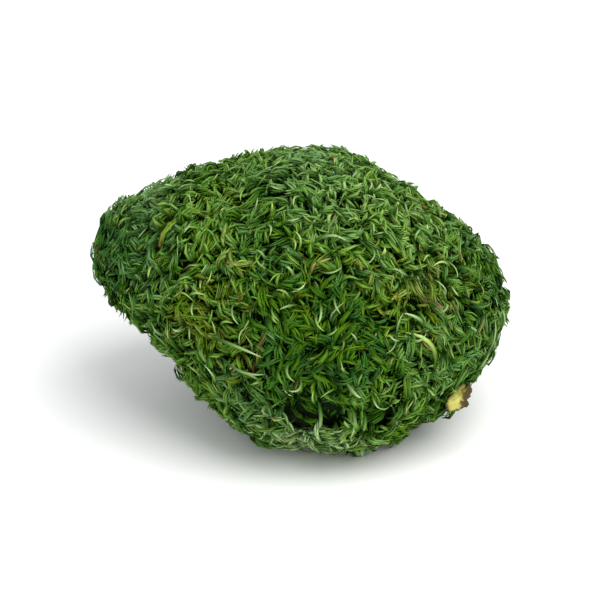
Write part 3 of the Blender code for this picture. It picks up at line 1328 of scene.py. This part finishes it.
@dataclass(frozen=True)
class ScrapFinish:
    """Dry leaf: yellow with an olive end, paler veins, and brown along one side and round the torn rim."""

    pale: Colour = (192, 188, 96)
    olive: Colour = (134, 138, 50)
    tan: Colour = (142, 118, 46)
    brown: Colour = (74, 60, 22)
    vein: Colour = (214, 210, 138)
    turn: float = math.radians(45.0)
    blotches: float = 5.0
    olive_from: Span = (0.4, 0.62)
    olive_unevenness: float = 0.6
    brown_side: float = 0.3
    side_unevenness: float = 0.5
    rim_unevenness: float = 0.3
    brown_from: Span = (0.3, 0.5)
    full_brown: float = 0.8
    vein_pitch: float = 0.05
    branch_thinness: float = 1.6
    vein_sharpness: float = 60.0
    vein_strength: float = 0.4
    relief: float = 0.2 * MM
    relief_strength: float = 0.5
    roughness: float = 0.6
    gloss: float = 0.25

    @cached_property
    def material(self) -> Material:
        """The material, on the scrap's own map, whose middle is at one half and whose rim is a circle.

        The map is turned so that one axis runs to the right in the photograph, where the brown is, and the
        other up, where the olive is. The veins lie in the map's own axes: one along the middle, and others
        that branch from it at 45 degrees.

        Returns:
            The material.
        """
        paint = Surface("dry_leaf")
        sheet = paint.add("UVMap", uv_map=LEAF_MAP).outputs[0]
        moved = paint.add("VectorMath", {0: sheet, 1: (0.5, 0.5, 0.0)}, operation="SUBTRACT")
        centred = moved.outputs[0]
        distance = paint.add("VectorMath", {0: centred}, operation="LENGTH").outputs[1]
        along, across, _ = paint.add("SeparateXYZ", {0: centred}).outputs
        turned = paint.add("VectorRotate", {"Vector": centred, "Angle": self.turn}, rotation_type="Z_AXIS")
        right, up, _ = paint.add("SeparateXYZ", {0: turned.outputs[0]}).outputs
        noise = paint.add("TexNoise", {"Vector": sheet, "Scale": self.blotches, "Detail": 4.0})
        uneven = paint.math("SUBTRACT", noise.outputs[0], 0.5)
        above = paint.math("MULTIPLY_ADD", uneven, self.olive_unevenness, paint.math("ADD", up, 0.5))
        body = paint.ramp(above, list(zip(self.olive_from, (self.pale, self.olive))))
        beside = paint.math("MULTIPLY_ADD", uneven, self.side_unevenness, right)
        aside = paint.math("ADD", beside, self.brown_side)
        outside = paint.math("MULTIPLY_ADD", uneven, self.rim_unevenness, distance)
        browned = paint.spread(paint.math("MAXIMUM", aside, outside), *self.brown_from, kind="SMOOTHSTEP")
        edge = paint.ramp(browned, [(0.0, self.tan), (self.full_brown, self.brown)])
        off_middle = paint.math("ABSOLUTE", across)
        branches = paint.math("PINGPONG", paint.math("ADD", along, off_middle), self.vein_pitch)
        thinned = paint.math("MULTIPLY", branches, self.branch_thinness)
        nearest = paint.math("MINIMUM", thinned, off_middle)
        far = paint.math("SMOOTH_MIN", paint.math("MULTIPLY", nearest, self.vein_sharpness), 1.0, 0.3)
        vein = paint.math("SUBTRACT", 1.0, far)
        veined = paint.mix(paint.math("MULTIPLY", vein, self.vein_strength), body, linear(self.vein))
        bump = {"Strength": self.relief_strength, "Distance": self.relief, "Height": vein}
        return paint.finish(paint.mix(browned, veined, edge), self.roughness, self.gloss, bump)


@dataclass
class DryScrap:
    """The scrap of dry leaf: a cupped, torn sheet in the place of its solid.

    Its edge is torn by waves, each a number round with a depth and a phase, and by notches, each an angle
    with a depth and a spread.
    """

    node: Thing
    finish: ScrapFinish = ScrapFinish()
    curl: float = 1.5 * MM
    thickness: float = 0.26 * MM
    thinning: float = 0.7
    narrowing: float = 0.95
    size: float = 0.9
    waves: tuple[Series, ...] = ((2, 0.07, 0.9), (5, 0.05, 2.0), (11, 0.03, 0.0), (23, 0.02, 1.0))
    notches: tuple[Series, ...] = ((5.2, 0.3, 0.14), (0.35, 0.2, 0.1), (2.5, 0.16, 0.12))
    crinkles: tuple[Drift, ...] = (Drift(0.2 * MM, 3.0 * MM, 13), Drift(0.1 * MM, 1.2 * MM, 14))
    map_radius: float = 0.48
    bared: float = 0.72
    bared_depths: Span = (-1.2 * MM, 9 * MM)
    tested_shares: Series = (0.2, 0.4, 0.6, 0.8, 1.0)
    columns: int = 120
    rows: int = 14
    middle: Array = field(init=False)
    axes: Array = field(init=False)
    half: Array = field(init=False)

    def __post_init__(self) -> None:
        """Finds the solid's own axes: along, across, and the side that it is cupped towards."""
        points = np.unique(np.round(vertices_of(self.node), 7), axis=0)
        self.middle = points.mean(axis=0)
        _, _, self.axes = np.linalg.svd(points - self.middle, full_matrices=False)
        own = (points - self.middle) @ self.axes.T
        if (own[:, 1] ** 2 * own[:, 2]).sum() < 0.0:
            self.axes[2] *= -1.0
        if self.axes[0, 0] < 0.0:
            self.axes[0] *= -1.0
        self.axes[1] = np.cross(self.axes[2], self.axes[0])
        self.half = np.abs((points - self.middle) @ self.axes.T).max(axis=0)

    def hidden_by(self, leaves: Leaves) -> Array:
        """Tells which leaves reach into the scrap, or in front of its bared part.

        Args:
            leaves: The leaves.

        Returns:
            True for each leaf that hides the scrap.
        """
        hiding = np.zeros(len(leaves.base), dtype=bool)
        nearest, farthest = self.bared_depths
        for share in self.tested_shares:
            away = leaves.at(share) - self.middle
            own = (away @ self.axes.T)[:, :2] / self.half[:2]
            forward = -(away @ SIGHT)
            hiding |= (np.hypot(*own.T) < self.bared) & (forward > nearest) & (forward < farthest)
        return hiding

    def sheet(self, share: Array, turn: Array) -> tuple[Array, Array]:
        """The scrap's middle surface.

        It is an oval with the torn edge, cupped up by the square of the distance across, bowed down by half
        the square of that along, and crinkled a little.

        Args:
            share: From 0 in the middle to 1 at the edge.
            turn: The angle round.

        Returns:
            The points in the scrap's own axes, and their place on the flat sheet from -1 to 1.
        """
        torn = np.full(turn.shape, self.size)
        for number, depth, phase in self.waves:
            torn += depth * np.sin(number * turn + phase)
        for angle, depth, spread in self.notches:
            away = np.arctan2(np.sin(turn - angle), np.cos(turn - angle))
            torn -= depth * np.exp(-((away / spread) ** 2))
        flat = np.column_stack((np.cos(turn), self.narrowing * np.sin(turn))) * (share * torn)[:, None]
        height = self.curl * (flat[:, 1] ** 2 - flat[:, 0] ** 2 / 2)
        own = np.column_stack((flat * self.half[:2], height))
        own[:, 2] += sum(drift.at(own) for drift in self.crinkles)
        return own, np.column_stack((np.cos(turn), np.sin(turn))) * share[:, None]

    def build(self) -> Thing:
        """Builds the scrap: out over its lower side, round the edge and back over its upper side.

        Returns:
            The object.
        """
        out = np.linspace(1.0 / self.rows, 1.0, self.rows)
        grids = np.meshgrid(np.concatenate((out, out[::-1])), angles_round(self.columns), indexing="ij")
        share, turn = (np.concatenate(((0.0,), grid.ravel(), (0.0,))) for grid in grids)
        own, flat = self.sheet(share, turn)
        side = np.repeat((-1.0, 1.0), len(share) // 2)
        own[:, 2] += side * self.thickness / 2.0 * (1.0 - self.thinning * share**6)
        own[:, 2] -= own[:, 2].mean()
        faces = closed_grid(self.columns, 2 * self.rows)
        uvs = flat[faces.ravel()] * self.map_radius + 0.5
        return make_object("dry_leaf", self.middle + own @ self.axes, faces, self.finish.material, uvs)


# ---- the studio


@dataclass
class Studio:
    """A pale floor, soft light from above and behind the right shoulder, and the photograph's camera."""

    floor_half: float = 3.0
    floor_colour: Series = (0.95, 0.96, 0.97, 1.0)
    sky_colour: Series = (0.96, 0.97, 0.98, 1.0)
    sky_strength: float = 0.8
    lamp_colour: Series = (1.0, 0.98, 0.94)
    lamp_size: float = 1.0
    lit_point: Series = (0.0, 0.0, 0.03)
    lens: float = 180.0
    sensor: float = 36.0
    fill: float = 0.7
    target_height: float = 36 * MM
    farthest: float = 20.0

    def build(self) -> None:
        """Sets up everything around the clump."""
        self.floor()
        self.sky()
        self.lamp("key", power=13.0, place=(0.4, -0.45, 1.0))
        self.lamp("front", power=1.6, place=(-0.1, -0.9, 0.3))
        self.camera()
        bpy.context.scene.view_settings.view_transform = "Standard"

    def floor(self) -> None:
        """A large level sheet under the clump."""
        corners = self.floor_half * np.array(((-1, -1, 0), (1, -1, 0), (1, 1, 0), (-1, 1, 0)))
        material = Surface("studio_white").finish(self.floor_colour, roughness=0.8, gloss=0.1)
        floor = make_object("studio_floor", corners, np.array(((0, 1, 2, 3),)), material)

    def sky(self) -> None:
        """Pale light from all round."""
        world = bpy.data.worlds.new("studio")
        world.use_nodes = True
        light = {"Color": self.sky_colour, "Strength": self.sky_strength}
        Web(world.node_tree).feed(world.node_tree.nodes["Background"], light)
        bpy.context.scene.world = world

    def lamp(self, name: str, power: float, place: tuple[float, float, float]) -> None:
        """Adds one large soft lamp that is turned to the clump.

        Args:
            name: The lamp's name.
            power: Its power in watts.
            place: Where it hangs.
        """
        light = bpy.data.lights.new(name, "AREA")
        light.energy = power
        light.size = self.lamp_size
        light.color = self.lamp_colour
        self.turn(linked(name, light), Vector(place), Vector(self.lit_point) - Vector(place))

    def turn(self, thing: Thing, place: Vector, aim: Vector) -> None:
        """Puts a lamp or a camera in its place and turns it along a direction."""
        thing.location = place
        thing.rotation_euler = aim.to_track_quat("-Z", "Y").to_euler()

    def camera(self) -> None:
        """A long lens at the photograph's height, far enough back for the clump to fill its share."""
        low, high = (np.array(corner) for corner in CAD_BOX)
        target = (*((low + high) / 2.0)[:2], self.target_height)
        distance = (high[0] - low[0]) / self.fill * self.lens / self.sensor
        data = bpy.data.cameras.new("camera")
        data.lens = self.lens
        data.sensor_width = self.sensor
        data.clip_end = self.farthest
        camera = linked("camera", data)
        self.turn(camera, Vector(target - SIGHT * distance), Vector(SIGHT * distance))
        bpy.context.scene.camera = camera


# ---- the clump


@dataclass
class MossClump:
    """The whole clump, built piece by piece in place of its two solids."""

    seed: int = SEED

    def build(self) -> None:
        """Builds every piece, lets it ride on the frame, and reports it."""
        finish, rng = LeafFinish(), np.random.default_rng(self.seed)
        cushion = Cushion(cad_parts["moss_cushion"])
        scrap = DryScrap(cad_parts["dry_leaf_scrap"])
        base = CutBase(cushion)
        for thing in LeafyShoots(cushion, finish, rng).build(scrap):
            self.place(thing, "moss_cushion", "moss")
        for piece in (LongStrands(cushion, finish, rng), StemMat(cushion), base, CutStems(base, finish, rng)):
            self.place(piece.build(), "moss_cushion", "moss")
        self.place(scrap.build(), "dry_leaf_scrap", "dry_leaf")

    def place(self, thing: Thing, node: str, slot: str) -> None:
        """Fixes a piece to the body in place of a solid, and reports it.

        Args:
            thing: The piece.
            node: The solid that it stands for.
            slot: Not used.
        """
        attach(thing, "root")
        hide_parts(node)
        log.info("%s: %d faces", thing.name, len(thing.data.polygons))


def main() -> None:
    """Builds the clump and the studio."""
    logging.basicConfig(level=logging.INFO, format="%(name)s %(message)s")
    MossClump().build()
    Studio().build()


if __name__ == "__main__":
    main()
